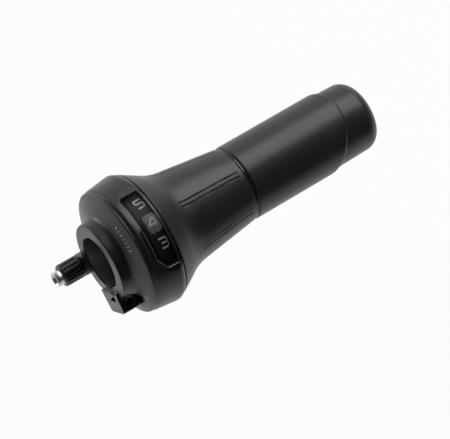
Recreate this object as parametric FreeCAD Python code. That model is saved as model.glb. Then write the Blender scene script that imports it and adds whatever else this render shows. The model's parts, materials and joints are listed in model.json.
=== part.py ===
import FreeCAD, Part
import math
import os

V = FreeCAD.Vector
AXIS = V(1, 0, 0)

# Twist grip shifter for the right end of a flat bar, in millimetres.
# The bar axis is the X axis, +X points to the bar's end, +Y forward, +Z up.
# The origin is on the bar axis at the rim of the housing's neck.
# An angle round the bar is 0 at the top and grows towards the rider (-Y).

# Bar and fits
bar_radius = 11.1
bore_clearance = 0.05
end_grip_clearance = 0.02
running_gap = 0.1
seat_gap = 0.05
hole_clearance = 0.15
washer_clearance = 0.45

# Housing neck and shoulder
neck_rim_radius = 16.4
neck_root_radius = 17.6
neck_root_x = 4.95
neck_root_fillet = 3.0
neck_mid_x = 3.0
neck_mid_radius = 17.0
shoulder_slope = 2.75
shoulder_edge_rise = 0.15
shoulder_wall_x = 2.35
crease_x = 9.1
crease_depth = 0.45
spigot_length = 1.9
spigot_wall = 1.0
rim_lip = 1.0

# Drum shell, built outward from the click ring, the stops and the screw posts
drum_start_x = 9.6
drum_peak_x = 20.8
drum_end_x = 22.4
drum_wall = 1.75
drum_bulge = 1.35
drum_end_rise = 0.2

# Window and lens
window_angle = 25.0
window_left_x = 13.3
window_right_x = 21.3
window_half_angle = 40.6
corner_x = 16.65
corner_half_angle = 29.3
lens_sink = 0.55
lens_thickness = 1.15
lens_flange_width = 0.9
lens_flange_thickness = 0.45
bevel_left_x = 11.0
bevel_left_rise = 0.7
bevel_end_angle = 44.1
bevel_end_rise = 1.7
bevel_corner_x = 14.05
bevel_corner_rise = 1.05
bevel_corner_angle = 38.6
magnifier_left_x = 14.7
magnifier_right_x = 21.0
magnifier_half_angle = 9.7
magnifier_height = 1.25
magnifier_draft = 0.5

# Clamp band and pinch bolt; the boss frame has +Z outward through the band's gap
boss_angle = 141.0
band_start_x = 0.5
band_end_x = 7.0
band_thickness = 1.2
band_gap = 1.4
band_clearance = 0.15
ear_height = 21.0
bolt_x = 3.4
bolt_height = 18.1
bolt_radius = 2.0
bolt_head_radius = 3.2
bolt_head_height = 2.8
bolt_key_width = 3.0
bolt_key_depth = 1.6
washer_thickness = 0.8
nut_width = 7.0
nut_thickness = 2.2
bolt_tail = 1.8
boss_face_x = -1.2
boss_top_front = 21.6
boss_top_back = 22.2
boss_half_front = 6.0
boss_half_back = 6.2
boss_back_foot = 7.7
boss_foot = 12.6
boss_inner_x = 7.0
core_back = 3.3
core_front = 3.05
core_low_height = 13.8
core_high_height = 16.65
core_round = 0.4

# Sleeve that turns on the bar, with the cable spool
thrust_washer_thickness = 0.5
thrust_washer_radius = 15.9
neck_inner_x = 7.7
sleeve_wall = 1.85
sleeve_end_x = 65.0
spool_start_x = 11.2
spool_end_x = 14.8
spool_radius = 15.4
cable_groove_x = 13.0
cable_groove_radius = 12.5
cable_groove_width = 1.7
cable_radius = 0.6
cable_head_radius = 2.2
cable_head_angle = 92.0
dial_flange_thickness = 2.0
dial_flange_radius = 18.0

# Click stops
gear_count = 7
gear_pitch = 21.3
detent_start_x = 9.0
detent_end_x = 10.6
detent_radius = 17.5
notch_radius = 1.0
notch_depth = 0.75
nose_angle = -80.0
key_count = 3
key_height = 0.9
key_width = 2.0
stop_tab_angle = 60.0
stop_tab_half_angle = 7.0
stop_tab_reach = 1.8
stop_clearance_angle = 0.6
stop_width_angle = 6.0
stop_rib_height = 4.2
stop_gap_x = 0.1

# Leaf spring on its post; the leaf frame has +Z outward through the nose
leaf_thickness = 0.35
leaf_lift = 0.55
leaf_tail = 3.2
leaf_nose_half_width = 1.25
leaf_nose_depth = 0.65
post_y = 10.0
post_drum_gap = 0.29
post_radius = 1.9
leaf_screw_radius = 1.0
leaf_screw_head_height = 1.2

# Screws that hold the shell
shell_screw_count = 3
shell_screw_first_angle = 60.0
shell_screw_radius = 1.2
shell_screw_head_radius = 2.2
shell_post_radius = 2.4
shell_post_tab_gap = 0.6
shell_post_drum_gap = 0.3
screw_head_depth = 1.1
shell_post_end_x = 11.6
lug_radius = 2.6
lug_thickness = 2.6

# Number dial
dial_start_x = 14.9
dial_web_thickness = 1.15
dial_lens_gap = 0.45
dial_rim = 1.3
dial_screw_circle = 15.7
dial_screw_radius = 1.1
dial_screw_head_radius = 2.2

# Twist grip
grip_seam_gap = 0.35
grip_flange_rise = 0.05
grip_crease_x = 29.0
grip_crease_radius = 23.45
grip_fillet_corner_x = 34.4
grip_fillet_corner_radius = 20.1
grip_fillet = 22.0
grip_end_radius = 16.1
grip_end_x = 65.1
groove_pair_count = 6
groove_first_angle = 21.5
groove_start_x = 34.0
groove_end_x = 62.5
groove_width = 0.75
groove_depth = 0.6
groove_spacing = 1.9

# Fixed grip
spacer_gap = 0.15
spacer_thickness = 1.0
spacer_radius = 15.7
fixed_start_x = 66.25
fixed_radius = 16.2
fixed_core_radius = 15.15
fixed_tip_radius = 14.75
fixed_end_x = 129.0
fixed_end_round = 6.3
fixed_end_wall = 3.5
step_x = 108.5
step_lean = 0.4145
step_angle = -4.0

# Cable adjuster
adjuster_angle = -140.0
adjuster_inset = 4.0
adjuster_boss_radius = 4.8
adjuster_boss_face_x = -0.6
adjuster_boss_end_x = 8.6
adjuster_bolt_radius = 2.3
adjuster_bolt_end_x = 5.0
adjuster_thread_room = 0.3
nose_radius = 3.4
nose_lip_radius = 3.7
nose_end_x = -2.4
nose_lip_width = 0.5
knob_radius = 4.7
knob_rib_count = 12
knob_rib_radius = 0.55
knob_flute_runout = 0.8
knob_start_x = -1.0
knob_end_x = -10.0
knob_shoulder_x = -5.0
head_start_x = -6.8
head_end_x = -13.0
head_width = 6.0
ferrule_radius = 2.55
ferrule_depth = 4.5
snap_clearance = 0.15
spring_wire = 0.5
spring_radius = 3.2
spring_turns = 3

# Cable guide
guide_radius = 1.3
guide_bore_radius = 0.8
guide_bend = 5.0
guide_lead = 1.0
guide_seat_x = 7.2

# Values that follow from those above
stop_tab_radius = detent_radius + stop_tab_reach
stop_outer_radius = detent_radius + stop_rib_height + 0.5
leaf_nose_corner = detent_radius - leaf_nose_depth
shell_screw_circle = stop_tab_radius + shell_post_tab_gap + shell_post_radius
drum_bore_radius = shell_screw_circle + shell_post_radius + shell_post_drum_gap
drum_start_radius = drum_bore_radius + drum_wall
drum_peak_radius = drum_start_radius + drum_bulge
drum_end_radius = drum_start_radius + drum_end_rise
shoulder_edge_radius = drum_start_radius + shoulder_edge_rise
crease_radius = drum_start_radius - crease_depth
lens_radius = drum_start_radius - lens_sink
bevel_left_radius = lens_radius + bevel_left_rise
bevel_end_radius = lens_radius + bevel_end_rise
bevel_corner_radius = lens_radius + bevel_corner_rise
dial_radius = lens_radius - lens_thickness - dial_lens_gap
grip_flange_radius = drum_end_radius + grip_flange_rise
adjuster_circle = drum_bore_radius - adjuster_inset
post_circle = drum_bore_radius - post_radius - post_drum_gap
post_z = math.sqrt(post_circle ** 2 - post_y ** 2)
bore_radius = bar_radius + bore_clearance
band_outer = bore_radius + band_thickness
neck_bore = band_outer + band_clearance
inner_shoulder_x = neck_root_x + shoulder_wall_x
sleeve_radius = bore_radius + sleeve_wall
sleeve_start_x = neck_inner_x + thrust_washer_thickness + running_gap
dial_web_x = drum_end_x - 0.3 - dial_web_thickness
dial_flange_x = dial_web_x - dial_flange_thickness
grip_back_x = dial_web_x + dial_web_thickness + seat_gap
spigot_end_x = crease_x + spigot_length
post_end_x = spigot_end_x + seat_gap
twist_range = gear_pitch * (gear_count - 1) / 2


def polar(x, radius, angle):
    """Point at a radius and an angle (degrees) round the bar axis."""
    a = math.radians(angle)
    return V(x, -radius * math.sin(a), radius * math.cos(a))


def rounded_wire(corners, point):
    """Closed wire through corners (a, b) or (a, b, corner radius), with tangent arcs.

    point turns a pair (a, b) into a vector.
    """
    count = len(corners)
    places = [V(c[0], c[1], 0) for c in corners]
    stations = []
    for i in range(count):
        here = places[i]
        back = (places[i - 1] - here).normalize()
        ahead = (places[(i + 1) % count] - here).normalize()
        radius = corners[i][2] if len(corners[i]) > 2 else 0
        if radius == 0:
            stations.append((here, None, here))
            continue
        half = back.getAngle(ahead) / 2
        run = radius / math.tan(half)
        centre = here + (back + ahead).normalize() * (radius / math.sin(half))
        middle = centre + (here - centre).normalize() * radius
        stations.append((here + back * run, middle, here + ahead * run))
    edges = []
    for i in range(count):
        start, middle, end = [p and point(p.x, p.y) for p in stations[i]]
        following = stations[(i + 1) % count][0]
        following = point(following.x, following.y)
        if middle:
            edges.append(Part.Arc(start, middle, end).toShape())
        if end.distanceToPoint(following) > 1e-6:
            edges.append(Part.LineSegment(end, following).toShape())
    return Part.Wire(edges)


def turned(corners, sweep=360.0):
    """Solid turned about the bar axis from an outline of (x, radius), centred on the top."""
    face = Part.Face(rounded_wire(corners, lambda a, b: V(a, 0, b)))
    solid = face.revolve(V(0, 0, 0), AXIS, sweep)
    if sweep < 360:
        solid.rotate(V(0, 0, 0), AXIS, -sweep / 2)
    return solid


def plate(corners, start_x, end_x):
    """Solid with an outline in (y, z), between two planes across the bar axis."""
    face = Part.Face(rounded_wire(corners, lambda a, b: V(start_x, a, b)))
    return face.extrude(V(end_x - start_x, 0, 0))


def ring(start_x, end_x, inner, outer, sweep=360.0):
    return turned([(start_x, inner), (end_x, inner), (end_x, outer), (start_x, outer)], sweep)


def rod(start_x, end_x, radius, circle=0.0, angle=0.0):
    """Cylinder parallel to the bar, on a circle round it."""
    solid = Part.makeCylinder(radius, abs(end_x - start_x), V(min(start_x, end_x), 0, circle), AXIS)
    return at_angle(solid, angle)


def cone(start_x, end_x, start_radius, end_radius, circle, angle):
    solid = Part.makeCone(start_radius, end_radius, end_x - start_x, V(start_x, 0, circle), AXIS)
    return at_angle(solid, angle)


def block(start_x, end_x, start_y, end_y, start_z, end_z):
    return Part.makeBox(end_x - start_x, end_y - start_y, end_z - start_z, V(start_x, start_y, start_z))


def at_angle(solid, angle):
    turned_solid = solid.copy()
    turned_solid.rotate(V(0, 0, 0), AXIS, angle)
    return turned_solid


def trimmed(solid, a, b, c, inside):
    """Solid cut by the plane through three points, kept on the side of the point inside."""
    normal = (b - a).cross(c - a).normalize()
    if normal.dot(inside - a) > 0:
        normal = normal * -1
    size = 200
    cutter = Part.makeBox(size, size, size, V(-size / 2, -size / 2, 0))
    cutter.Placement = FreeCAD.Placement(a, FreeCAD.Rotation(V(0, 0, 1), normal)) * cutter.Placement
    return solid.cut(cutter)


def hexagon_prism(width, start, length, direction, centre):
    """Prism with six sides along a direction; width is across the flats."""
    side = width / math.sqrt(3)
    turns = [math.radians(60 * k) for k in range(6)]
    corners = [V(side * math.cos(turn), side * math.sin(turn), 0) for turn in turns]
    prism = Part.Face(Part.makePolygon(corners + [corners[0]])).extrude(V(0, 0, length))
    prism.Placement = FreeCAD.Placement(centre + direction * start, FreeCAD.Rotation(V(0, 0, 1), direction))
    return prism


def shoulder_x(radius):
    """Where the outside of the shoulder reaches a radius."""
    return neck_root_x + (radius - neck_root_radius) / shoulder_slope


def window_body(inner, outer, grow):
    """Part of a tube that fills the window's outline, grown outward by a distance."""
    growth = math.degrees(grow / lens_radius)
    half = window_half_angle + growth
    body = ring(window_left_x - grow, window_right_x, inner, outer, 2 * half)
    for side in (-1, 1):
        first = polar(window_left_x, lens_radius, side * corner_half_angle)
        second = polar(corner_x, lens_radius, side * window_half_angle)
        middle_angle = side * (corner_half_angle + window_half_angle) / 2
        third = polar((window_left_x + corner_x) / 2, lens_radius / 2, middle_angle)
        keep = polar(window_right_x, lens_radius, 0)
        outward = (second - first).cross(third - first).normalize()
        if outward.dot(keep - first) > 0:
            outward = outward * -1
        shift = outward * grow
        body = trimmed(body, first + shift, second + shift, third + shift, keep)
    return body


def window_recess():
    """Bevelled recess round the lens, open to the shell's outboard end."""
    rise = (bevel_left_radius - lens_radius) / (window_left_x - bevel_left_x)
    past_x = drum_start_x + seat_gap
    past_radius = lens_radius + rise * (window_left_x - past_x)
    clear = drum_peak_radius + 2
    past_end = drum_end_x + 1
    outline = [(window_left_x, lens_radius), (past_x, past_radius), (past_x, clear),
               (past_end, clear), (past_end, lens_radius)]
    middle_half = corner_half_angle - 4
    side_sweep = bevel_end_angle + 8 - middle_half
    pieces = [turned(outline, 2 * middle_half)]
    for side in (-1, 1):
        low = polar(window_left_x, lens_radius, side * window_half_angle)
        high = polar(window_left_x, bevel_end_radius, side * bevel_end_angle)
        first = polar(window_left_x, lens_radius, side * corner_half_angle)
        second = polar(corner_x, lens_radius, side * window_half_angle)
        third = polar(bevel_corner_x, bevel_corner_radius, side * bevel_corner_angle)
        middle_angle = side * (middle_half + side_sweep / 2)
        keep = polar(drum_end_x, drum_peak_radius, side * middle_half)
        wing = at_angle(turned(outline, side_sweep), middle_angle)
        wing = trimmed(wing, low, high, low + AXIS, keep)
        pieces.append(trimmed(wing, first, second, third, keep))
    return pieces[0].fuse(pieces[1:]).removeSplitter()


def pinch_boss():
    """Boss for the pinch bolt, in the boss frame."""
    outline = [(-boss_back_foot, boss_foot), (-boss_half_back, boss_top_back, 1.4),
               (boss_half_front, boss_top_front, 1.0), (boss_half_front - 0.2, boss_foot)]
    return plate(outline, boss_face_x, boss_inner_x)


def pinch_cuts():
    """Ear slot, bolt head pocket, nut pocket and the three-sided core hole, in the boss frame."""
    ear_side = band_gap / 2 + band_thickness + band_clearance
    slot = block(band_start_x - seat_gap, crease_x, -ear_side, ear_side,
                 boss_foot - 1, ear_height + band_clearance)
    pocket_radius = bolt_head_radius + 2 * hole_clearance
    pocket = Part.makeCylinder(pocket_radius, shoulder_edge_radius, V(bolt_x, 0, bolt_height), V(0, 1, 0))
    half_nut = nut_width / 2 + seat_gap
    nut_pocket = block(bolt_x - half_nut, bolt_x + half_nut, -boss_back_foot - 1, 0,
                       bolt_height - half_nut, bolt_height + half_nut)
    core = plate([(-core_back, core_high_height, core_round), (core_front, core_low_height, core_round),
                  (core_front, core_high_height, core_round)], boss_face_x - 1, band_start_x)
    return slot.fuse([pocket, nut_pocket, core])


def stop_sectors():
    """Two ribs that the stop tab meets at the ends of the twist."""
    reach = twist_range + stop_tab_half_angle + stop_clearance_angle + stop_width_angle / 2
    rib = ring(neck_inner_x, detent_end_x + stop_gap_x, detent_radius + 0.5, stop_outer_radius,
               stop_width_angle)
    return [at_angle(rib, stop_tab_angle + side * reach) for side in (-1, 1)]


def shell_screw_angles():
    step = 360 / shell_screw_count
    return [shell_screw_first_angle + step * k for k in range(shell_screw_count)]


def adjuster_nose():
    """Snap nose of the adjuster boss, on the bar axis before it is placed."""
    return turned([(adjuster_boss_face_x, 0), (adjuster_boss_face_x, nose_radius),
                   (nose_end_x + nose_lip_width, nose_radius), (nose_end_x + nose_lip_width, nose_lip_radius),
                   (nose_end_x, nose_lip_radius - 0.2), (nose_end_x, 0)])


def on_adjuster_axis(solid):
    moved = solid.copy()
    moved.translate(V(0, 0, adjuster_circle))
    return at_angle(moved, adjuster_angle)


def clamp_body():
    """Moulded housing half with neck, shoulder, pinch boss, cable outlet and stops."""
    edge_x = shoulder_x(shoulder_edge_radius)
    spigot_radius = drum_bore_radius - running_gap
    outside = turned([(0, 0), (0, neck_rim_radius, 0.6), (neck_mid_x, neck_mid_radius),
                      (neck_root_x, neck_root_radius, neck_root_fillet), (edge_x, shoulder_edge_radius, 0.7),
                      (crease_x, crease_radius), (crease_x, spigot_radius),
                      (spigot_end_x, spigot_radius), (spigot_end_x, 0)])
    body = outside.fuse(at_angle(pinch_boss(), boss_angle))
    lip_radius = neck_bore - rim_lip
    inner_root = neck_root_radius + (neck_inner_x - inner_shoulder_x) * shoulder_slope
    inner_top = neck_root_radius + (crease_x - inner_shoulder_x) * shoulder_slope
    spigot_bore = spigot_radius - spigot_wall
    lip_x = band_start_x - seat_gap
    hollow = turned([(boss_face_x - 1, 0), (boss_face_x - 1, lip_radius), (lip_x, lip_radius),
                     (lip_x, neck_bore), (neck_inner_x, neck_bore),
                     (neck_inner_x, inner_root), (crease_x, inner_top), (crease_x, spigot_bore),
                     (spigot_end_x + 1, spigot_bore), (spigot_end_x + 1, 0)])
    body = body.cut(hollow)
    inner = stop_sectors()
    for angle in shell_screw_angles():
        inner.append(rod(neck_inner_x + 0.5, shell_post_end_x, shell_post_radius, shell_screw_circle, angle))
    post_angle = nose_angle - math.degrees(math.atan2(post_y, post_z))
    inner.append(rod(neck_inner_x + 0.5, post_end_x, post_radius, post_circle, post_angle))
    inner.append(on_adjuster_axis(rod(adjuster_boss_face_x, adjuster_boss_end_x, adjuster_boss_radius)))
    inner.append(on_adjuster_axis(adjuster_nose()))
    body = body.fuse(inner).removeSplitter()
    cuts = [at_angle(pinch_cuts(), boss_angle)]
    for angle in shell_screw_angles():
        cuts.append(rod(neck_inner_x + 0.4, shell_post_end_x + 1, shell_screw_radius + seat_gap,
                        shell_screw_circle, angle))
    cuts.append(rod(neck_inner_x + 0.7, post_end_x + 1, leaf_screw_radius + seat_gap,
                    post_circle, post_angle))
    cuts.append(on_adjuster_axis(rod(nose_end_x - 1, adjuster_boss_end_x + 1,
                                     adjuster_bolt_radius + adjuster_thread_room)))
    return body.cut(cuts)


def drum_shell():
    """Outer drum with the window recess and three screw lugs inside."""
    shell = turned([(crease_x, drum_bore_radius), (crease_x, crease_radius - 0.1),
                    (drum_start_x, drum_start_radius, 0.3), (drum_peak_x, drum_peak_radius, 3.0),
                    (drum_end_x, drum_end_radius), (drum_end_x, drum_bore_radius)])
    lug_start_x = shell_post_end_x + seat_gap
    lug_end_x = lug_start_x + lug_thickness
    disc = rod(lug_start_x, lug_end_x, drum_bore_radius + 0.3)
    web = block(lug_start_x, lug_end_x, -lug_radius, lug_radius,
                shell_screw_circle, drum_bore_radius + 0.4)
    lug = rod(lug_start_x, lug_end_x, lug_radius, shell_screw_circle).fuse(web).common(disc)
    shell = shell.fuse([at_angle(lug, angle) for angle in shell_screw_angles()])
    window = window_body(drum_bore_radius - 1, lens_radius + 1, seat_gap)
    flange_depth = lens_thickness - lens_flange_thickness
    flange_seat = window_body(drum_bore_radius - 1, lens_radius - flange_depth + seat_gap,
                              lens_flange_width + seat_gap)
    cuts = [at_angle(cutter, window_angle) for cutter in (window, flange_seat, window_recess())]
    for angle in shell_screw_angles():
        cuts.append(rod(lug_start_x - 1, lug_end_x + 0.2, shell_screw_radius + hole_clearance,
                        shell_screw_circle, angle))
        cuts.append(cone(lug_end_x - screw_head_depth, lug_end_x + 0.1, shell_screw_radius + hole_clearance,
                         shell_screw_head_radius + hole_clearance, shell_screw_circle, angle))
    return shell.cut(cuts)


def flat_head_screw(tip_x, head_x, radius, head_radius, circle, angle):
    """Countersunk screw along the bar axis with a cross-shaped drive."""
    shank = rod(tip_x, head_x - screw_head_depth + 0.1, radius, circle, angle)
    head = cone(head_x - screw_head_depth, head_x, radius, head_radius, circle, angle)
    screw = shank.fuse(head)
    arm = head_radius * 0.6
    slot = 0.25
    for first, second in ((arm, slot), (slot, arm)):
        cross = block(head_x - 0.6, head_x + 1, -first, first, circle - second, circle + second)
        screw = screw.cut(at_angle(cross, angle))
    return screw


def shell_screws():
    head_x = shell_post_end_x + seat_gap + lug_thickness - 0.05
    tip_x = neck_inner_x + 0.6
    return [flat_head_screw(tip_x, head_x, shell_screw_radius, shell_screw_head_radius,
                            shell_screw_circle, angle) for angle in shell_screw_angles()]


def window_lens():
    """Clear lens with a flange inside and a raised magnifier."""
    inner = lens_radius - lens_thickness
    pane = window_body(inner, lens_radius, -seat_gap)
    flange = window_body(inner, inner + lens_flange_thickness, lens_flange_width)
    top = lens_radius + magnifier_height
    bulge = turned([(magnifier_left_x, inner + 0.3), (magnifier_left_x + 0.2, top - 0.1, 0.8),
                    ((magnifier_left_x + magnifier_right_x) / 2, top + 0.15, 8.0),
                    (magnifier_right_x - 0.2, top - 0.1, 0.8), (magnifier_right_x, inner + 0.3)],
                   2 * (magnifier_half_angle + 4))
    keep = polar(magnifier_left_x, lens_radius, 0)
    for side in (-1, 1):
        low = polar(magnifier_left_x, lens_radius, side * magnifier_half_angle)
        draft = math.degrees(magnifier_draft / lens_radius)
        high = polar(magnifier_left_x, top, side * (magnifier_half_angle - draft))
        bulge = trimmed(bulge, low, high, low + AXIS, keep)
        bevel_low = polar(magnifier_left_x, top - 0.6, side * magnifier_half_angle)
        bevel_high = polar(magnifier_left_x, top + 0.15, side * (magnifier_half_angle - 2.4))
        bulge = trimmed(bulge, bevel_low, bevel_high, bevel_low + AXIS, keep)
    return at_angle(pane.fuse([flange, bulge]).removeSplitter(), window_angle)


def clamp_band():
    """Steel band round the bar with two ears for the pinch bolt."""
    band = ring(band_start_x, band_end_x, bore_radius, band_outer)
    half_gap = band_gap / 2
    band = band.cut(block(band_start_x - 1, band_end_x + 1, -half_gap, half_gap, 0, ear_height))
    middle_x = (band_start_x + band_end_x) / 2
    for side in (-1, 1):
        near = side * half_gap
        far = side * (half_gap + band_thickness)
        root = math.sqrt(bore_radius ** 2 - near ** 2) + 0.05
        ear = block(band_start_x, band_end_x, min(near, far), max(near, far), root, ear_height)
        corners = [edge for edge in ear.Edges
                   if edge.BoundBox.ZMin > ear_height - 0.01 and edge.BoundBox.YLength > 0.5
                   and abs(edge.BoundBox.XMin - middle_x) > 1]
        band = band.fuse(ear.makeFillet(1.2, corners))
    reach = half_gap + band_thickness + 1
    hole = Part.makeCylinder(bolt_radius + hole_clearance, 2 * reach, V(bolt_x, -reach, bolt_height),
                             V(0, 1, 0))
    return at_angle(band.cut(hole).removeSplitter(), boss_angle)


def clamp_bolt():
    """Socket head bolt across the band's gap."""
    seat_y = band_gap / 2 + band_thickness + washer_thickness
    tail_y = -(band_gap / 2 + band_thickness + nut_thickness + bolt_tail)
    across = V(0, 1, 0)
    shank = Part.makeCylinder(bolt_radius, seat_y - tail_y, V(bolt_x, tail_y, bolt_height), across)
    shank = shank.makeChamfer(0.4, [shank.Edges[i] for i in range(3)
                                    if shank.Edges[i].BoundBox.YMax < tail_y + 0.01])
    head = Part.makeCylinder(bolt_head_radius, bolt_head_height, V(bolt_x, seat_y, bolt_height), across)
    top_y = seat_y + bolt_head_height
    head = head.makeChamfer(0.35, [edge for edge in head.Edges if edge.BoundBox.YMin > top_y - 0.01])
    key = hexagon_prism(bolt_key_width, top_y - bolt_key_depth, bolt_key_depth + 1, across,
                        V(bolt_x, 0, bolt_height))
    return at_angle(shank.fuse(head).cut(key), boss_angle)


def bolt_washer():
    start = band_gap / 2 + band_thickness
    washer = Part.makeCylinder(bolt_head_radius, washer_thickness, V(bolt_x, start, bolt_height), V(0, 1, 0))
    hole = Part.makeCylinder(bolt_radius + hole_clearance, washer_thickness + 2,
                             V(bolt_x, start - 1, bolt_height), V(0, 1, 0))
    return at_angle(washer.cut(hole), boss_angle)


def clamp_nut():
    face_y = -(band_gap / 2 + band_thickness)
    half = nut_width / 2
    nut = block(bolt_x - half, bolt_x + half, face_y - nut_thickness, face_y,
                bolt_height - half, bolt_height + half)
    along = [edge for edge in nut.Edges if edge.BoundBox.YLength > 1]
    nut = nut.makeChamfer(0.3, along)
    hole = Part.makeCylinder(bolt_radius + seat_gap, nut_thickness + 2,
                             V(bolt_x, face_y - nut_thickness - 1, bolt_height), V(0, 1, 0))
    return at_angle(nut.cut(hole), boss_angle)


def thrust_washer():
    return ring(neck_inner_x, neck_inner_x + thrust_washer_thickness, bore_radius + washer_clearance,
                thrust_washer_radius)


def twist_sleeve():
    """Sleeve on the bar with the cable spool, the dial's flange and keys for the detent ring."""
    wall = (spool_end_x - spool_start_x - cable_groove_width) / 2
    foot = 0.3
    outline = [(sleeve_start_x, bore_radius), (sleeve_start_x, sleeve_radius, 0.2),
               (spool_start_x, sleeve_radius), (spool_start_x, spool_radius, 0.3),
               (spool_start_x + wall, spool_radius, 0.3),
               (spool_start_x + wall + foot, cable_groove_radius, 0.5),
               (spool_end_x - wall - foot, cable_groove_radius, 0.5), (spool_end_x - wall, spool_radius, 0.3),
               (spool_end_x, spool_radius, 0.3), (spool_end_x, sleeve_radius),
               (dial_flange_x, sleeve_radius, 1.0), (dial_flange_x, dial_flange_radius, 0.3),
               (dial_web_x, dial_flange_radius), (dial_web_x, sleeve_radius),
               (sleeve_end_x, sleeve_radius, 0.4), (sleeve_end_x, bore_radius)]
    sleeve = turned(outline)
    key = block(detent_start_x, spool_start_x + 0.1, -key_width / 2, key_width / 2,
                sleeve_radius - 0.3, sleeve_radius + key_height)
    sleeve = sleeve.fuse([at_angle(key, 360 / key_count * k) for k in range(key_count)])
    cuts = [rod(cable_groove_x, spool_end_x + 1, cable_head_radius, bore_radius + cable_head_radius + 0.6,
                cable_head_angle)]
    for k in range(key_count):
        cuts.append(rod(dial_flange_x + 0.5, dial_web_x + 1, dial_screw_radius + seat_gap, dial_screw_circle,
                        360 / key_count * k))
    return sleeve.cut(cuts)


def detent_ring():
    """Notched ring: one notch a gear, and a tab that meets the stops."""
    disc = ring(detent_start_x, detent_end_x, sleeve_radius + seat_gap, detent_radius)
    tab = ring(detent_start_x, detent_end_x, detent_radius - 1, stop_tab_radius, 2 * stop_tab_half_angle)
    disc = disc.fuse(at_angle(tab, stop_tab_angle))
    cuts = []
    for gear in range(gear_count):
        angle = nose_angle + gear_pitch * (gear - (gear_count - 1) / 2)
        cuts.append(rod(detent_start_x - 1, detent_end_x + 1, notch_radius,
                        detent_radius - notch_depth + notch_radius, angle))
    keyway = key_width / 2 + seat_gap
    for k in range(key_count):
        slot = block(detent_start_x - 1, detent_end_x + 1, -keyway, keyway, sleeve_radius - 1,
                     sleeve_radius + key_height + seat_gap)
        cuts.append(at_angle(slot, 360 / key_count * k))
    return disc.cut(cuts).removeSplitter()


def detent_spring():
    """Leaf with a bent nose that drops into the ring's notches, and a screw tab at its end."""
    low = detent_radius + leaf_lift
    high = low + leaf_thickness
    half = leaf_nose_half_width
    inner_half = half - 0.15
    end_y = post_y + 1.2
    strip = plate([(-leaf_tail, low), (-half, low, 0.4), (0, leaf_nose_corner, 0.6), (half, low, 0.4),
                   (end_y, low), (end_y, high), (inner_half, high, 0.3),
                   (0, leaf_nose_corner + 0.45, 0.3), (-inner_half, high, 0.3), (-leaf_tail, high)],
                  detent_start_x + 0.1, post_end_x + leaf_thickness)
    tab = Part.makeCylinder(post_radius, leaf_thickness, V(post_end_x, post_y, post_z), AXIS)
    bridge = block(post_end_x, post_end_x + leaf_thickness, post_y - 1.2, end_y, low, post_z)
    leaf = strip.fuse([tab, bridge]).removeSplitter()
    hole = Part.makeCylinder(leaf_screw_radius + hole_clearance, 4, V(post_end_x - 1, post_y, post_z), AXIS)
    return at_angle(leaf.cut(hole), nose_angle)


def spring_screw():
    """Pan head screw that holds the leaf on its post."""
    head_x = post_end_x + leaf_thickness
    start = V(neck_inner_x + 0.8, post_y, post_z)
    shank = Part.makeCylinder(leaf_screw_radius, head_x - start.x, start, AXIS)
    head = Part.makeCylinder(post_radius, leaf_screw_head_height, V(head_x, post_y, post_z), AXIS)
    top_x = head_x + leaf_screw_head_height
    head = head.makeFillet(0.5, [edge for edge in head.Edges if edge.BoundBox.XMin > top_x - 0.01])
    slot = block(top_x - 0.5, top_x + 1, post_y - 1.2, post_y + 1.2, post_z - 0.25, post_z + 0.25)
    return at_angle(shank.fuse(head).cut(slot), nose_angle)


def cable_guide():
    """Bent tube that leads the cable from the spool's tangent to the outlet."""
    groove_centre = cable_groove_radius + cable_radius
    lead_angle = math.degrees(math.acos(groove_centre / adjuster_circle))
    outlet = polar(cable_groove_x, adjuster_circle, adjuster_angle)
    tangent = polar(cable_groove_x, groove_centre, adjuster_angle - lead_angle)
    back = (tangent - outlet).normalize()
    bend_start = outlet + back * guide_bend
    bend_end = outlet - AXIS * guide_bend
    centre = bend_start - AXIS * guide_bend
    middle = centre + (outlet - centre).normalize() * guide_bend
    path = Part.Wire([Part.LineSegment(bend_start + back * guide_lead, bend_start).toShape(),
                      Part.Arc(bend_start, middle, bend_end).toShape(),
                      Part.LineSegment(bend_end, V(guide_seat_x, outlet.y, outlet.z)).toShape()])

    def tube(radius):
        section = Part.Wire(Part.makeCircle(radius, bend_start + back * guide_lead, back))
        return path.makePipeShell([section], True, False)

    collar_radius = adjuster_bolt_radius + adjuster_thread_room - seat_gap
    collar = on_adjuster_axis(rod(guide_seat_x, adjuster_boss_end_x, collar_radius))
    return tube(guide_radius).fuse(collar).cut(tube(guide_bore_radius))


def dial_screws():
    head_x = dial_web_x + dial_web_thickness
    return [flat_head_screw(dial_flange_x + 0.6, head_x, dial_screw_radius, dial_screw_head_radius,
                            dial_screw_circle, 360 / key_count * k) for k in range(key_count)]


def number_dial():
    """Dial that carries the gear numbers under the lens."""
    web_end_x = dial_web_x + dial_web_thickness
    dial = turned([(dial_web_x, sleeve_radius + seat_gap), (web_end_x, sleeve_radius + seat_gap),
                   (web_end_x, dial_radius, 0.3), (dial_start_x, dial_radius, 0.2),
                   (dial_start_x, dial_radius - dial_rim), (dial_web_x, dial_radius - dial_rim, 0.5)])
    for k in range(key_count):
        angle = 360 / key_count * k
        clearance_radius = dial_screw_radius + hole_clearance
        dial = dial.cut(rod(dial_web_x - 1, web_end_x + 1, clearance_radius, dial_screw_circle, angle))
        dial = dial.cut(cone(web_end_x - screw_head_depth, web_end_x + 0.1, clearance_radius,
                             dial_screw_head_radius + hole_clearance, dial_screw_circle, angle))
    return dial


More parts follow.
